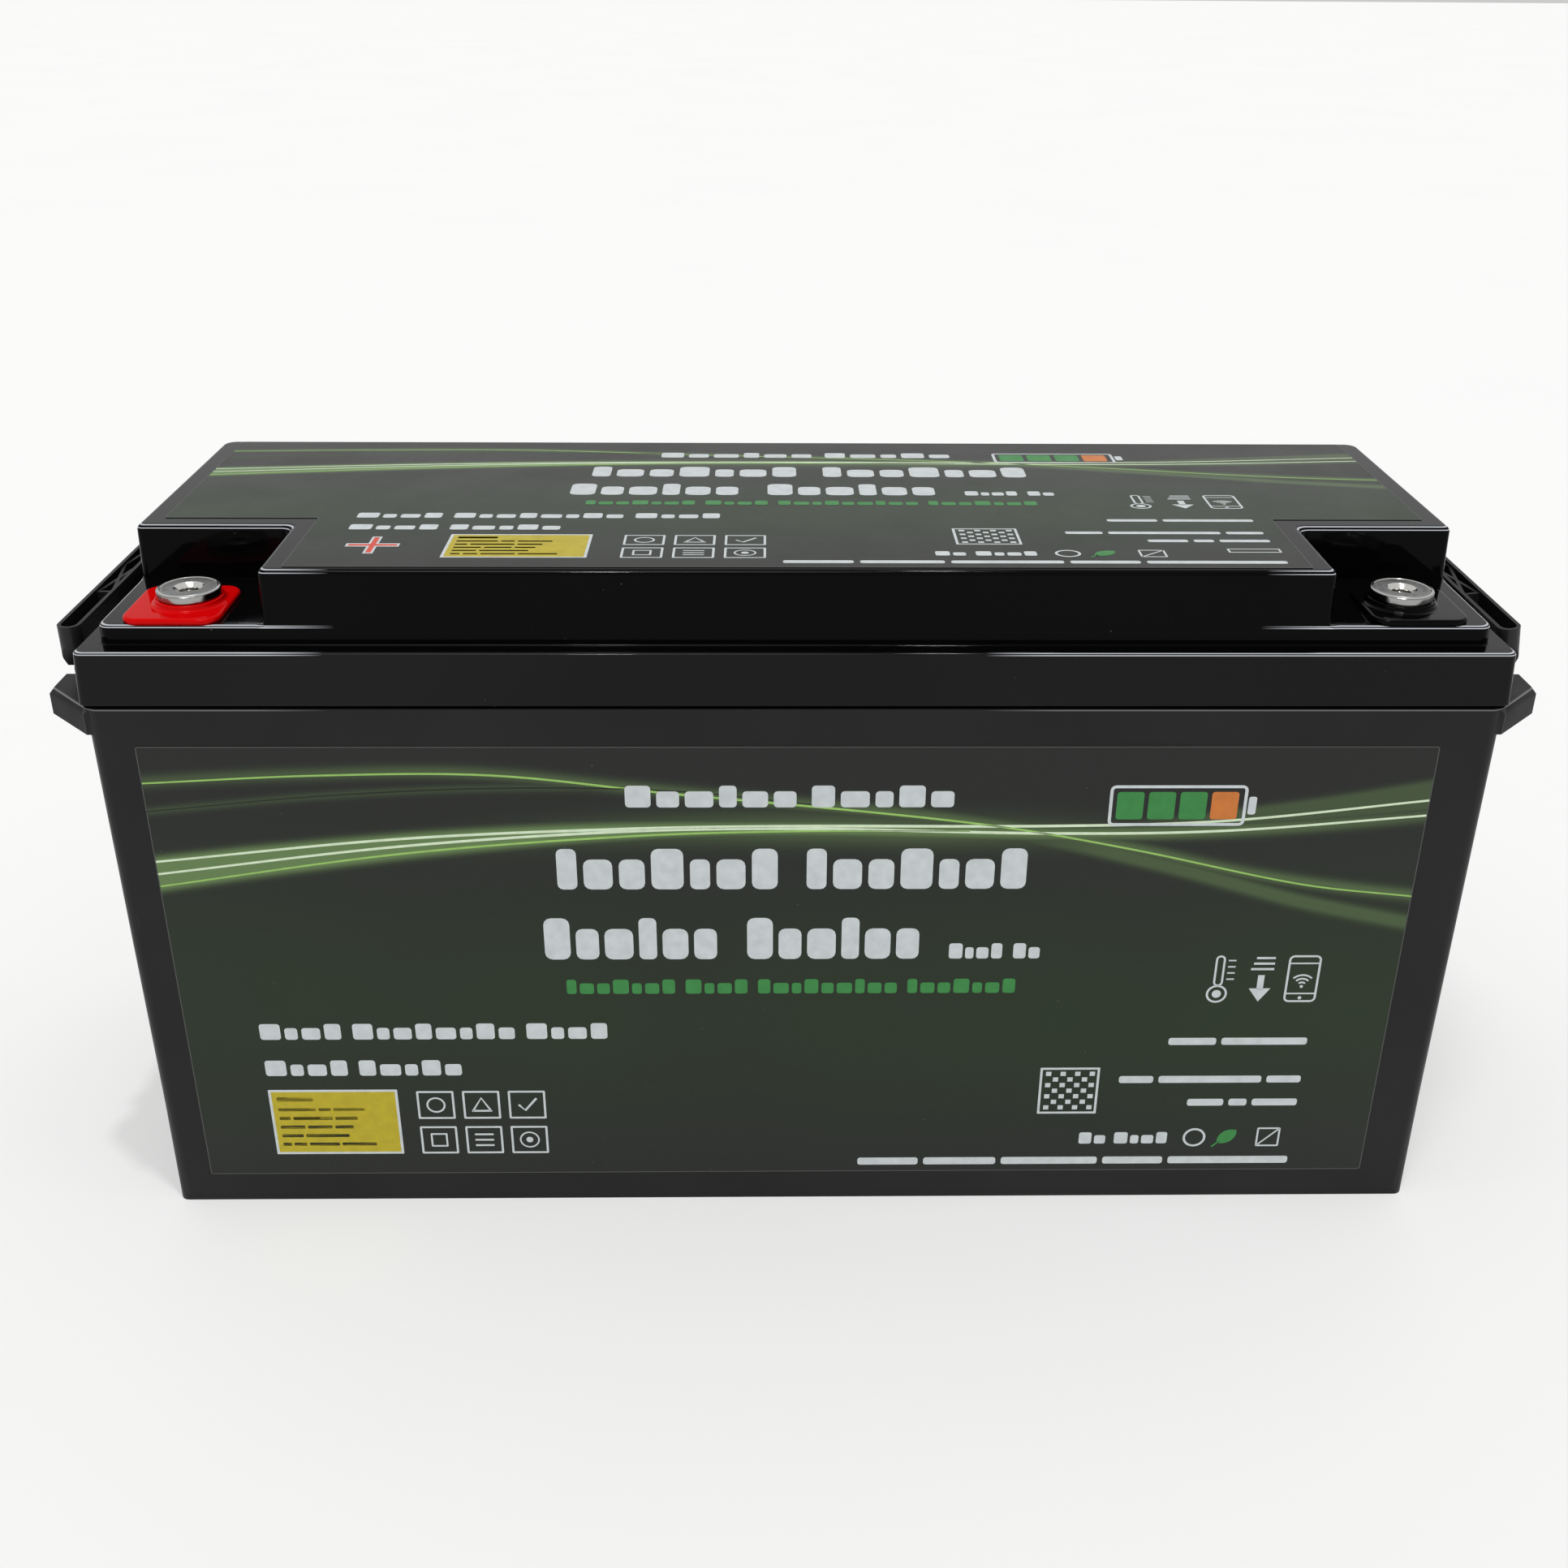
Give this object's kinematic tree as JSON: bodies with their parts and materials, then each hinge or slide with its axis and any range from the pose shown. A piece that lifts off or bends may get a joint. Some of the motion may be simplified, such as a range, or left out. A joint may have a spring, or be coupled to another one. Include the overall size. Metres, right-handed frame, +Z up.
{
  "type": "deep cycle battery",
  "caption": "Sealed deep cycle battery in a long, narrow black case with a stepped lid, threaded terminals in front corner notches and a folding handle at each end.",
  "frame": {"origin": "centre of the container's base, on the surface that the battery stands on", "axes": "+X along the length towards the negative terminal, +Y away from the labelled front face, +Z up"},
  "size_m": [0.517, 0.17, 0.2583],
  "materials": {
    "case_black": "satin",
    "lid_gloss": "gloss",
    "handle_black": "satin",
    "base_red": "gloss",
    "nickel_plate": "satin",
    "steel": "satin",
    "copper_bar": "satin",
    "aluminium_plate": "satin",
    "cell_can": "satin",
    "label_film": "satin",
    "seal_rubber": "matte",
    "foam": "matte",
    "epoxy_sheet": "matte",
    "circuit_board": "satin",
    "component_black": "satin",
    "plug_ivory": "satin",
    "wire_red": "satin",
    "cable_black": "satin"
  },
  "bodies": {
    "case": {"container": "case_black", "lid": "lid_gloss", "lid_seal": "seal_rubber", "terminal_base_positive": "base_red", "terminal_base_negative": "lid_gloss", "terminal_gaskets": "seal_rubber", "terminal_positive": "nickel_plate", "terminal_negative": "nickel_plate", "terminal_washers": "steel", "terminal_nuts": "steel", "front_label": "label_film", "top_label": "label_film", "cell_1": "cell_can", "cell_2": "cell_can", "cell_3": "cell_can", "cell_4": "cell_can", "cell_5": "cell_can", "cell_6": "cell_can", "cell_7": "cell_can", "cell_8": "cell_can", "cell_spacers": "epoxy_sheet", "cell_end_plates": "epoxy_sheet", "cell_straps": "steel", "busbars": "copper_bar", "busbar_nuts": "steel", "insulation_board": "epoxy_sheet", "base_foam_pad": "foam", "side_foam_pads": "foam", "end_foam_pads": "foam", "bms_bracket": "aluminium_plate", "bms_board": "circuit_board", "bms_components": "component_black", "bms_heat_sink": "aluminium_plate", "bms_screws": "steel", "wireless_module": "circuit_board", "temperature_sensor": "component_black", "balance_plug": "plug_ivory", "balance_harness": "wire_red", "positive_link": "copper_bar", "cable_cell_negative": "cable_black", "cable_pack_negative": "cable_black", "cable_lugs": "nickel_plate", "cable_bolts": "steel"},
    "left_handle": {"handle_left": "handle_black"},
    "right_handle": {"handle_right": "handle_black"}
  },
  "joints": [
    {"name": "handle_left_hinge", "type": "hinge", "parent": "case", "child": "left_handle", "pos_m": [-0.249, 0, 0.206], "axis": [0, -1, 0], "range_deg": [-7, 90]},
    {"name": "handle_right_hinge", "type": "hinge", "parent": "case", "child": "right_handle", "pos_m": [0.249, 0, 0.206], "axis": [0, 1, 0], "range_deg": [0, 97]}
  ]
}
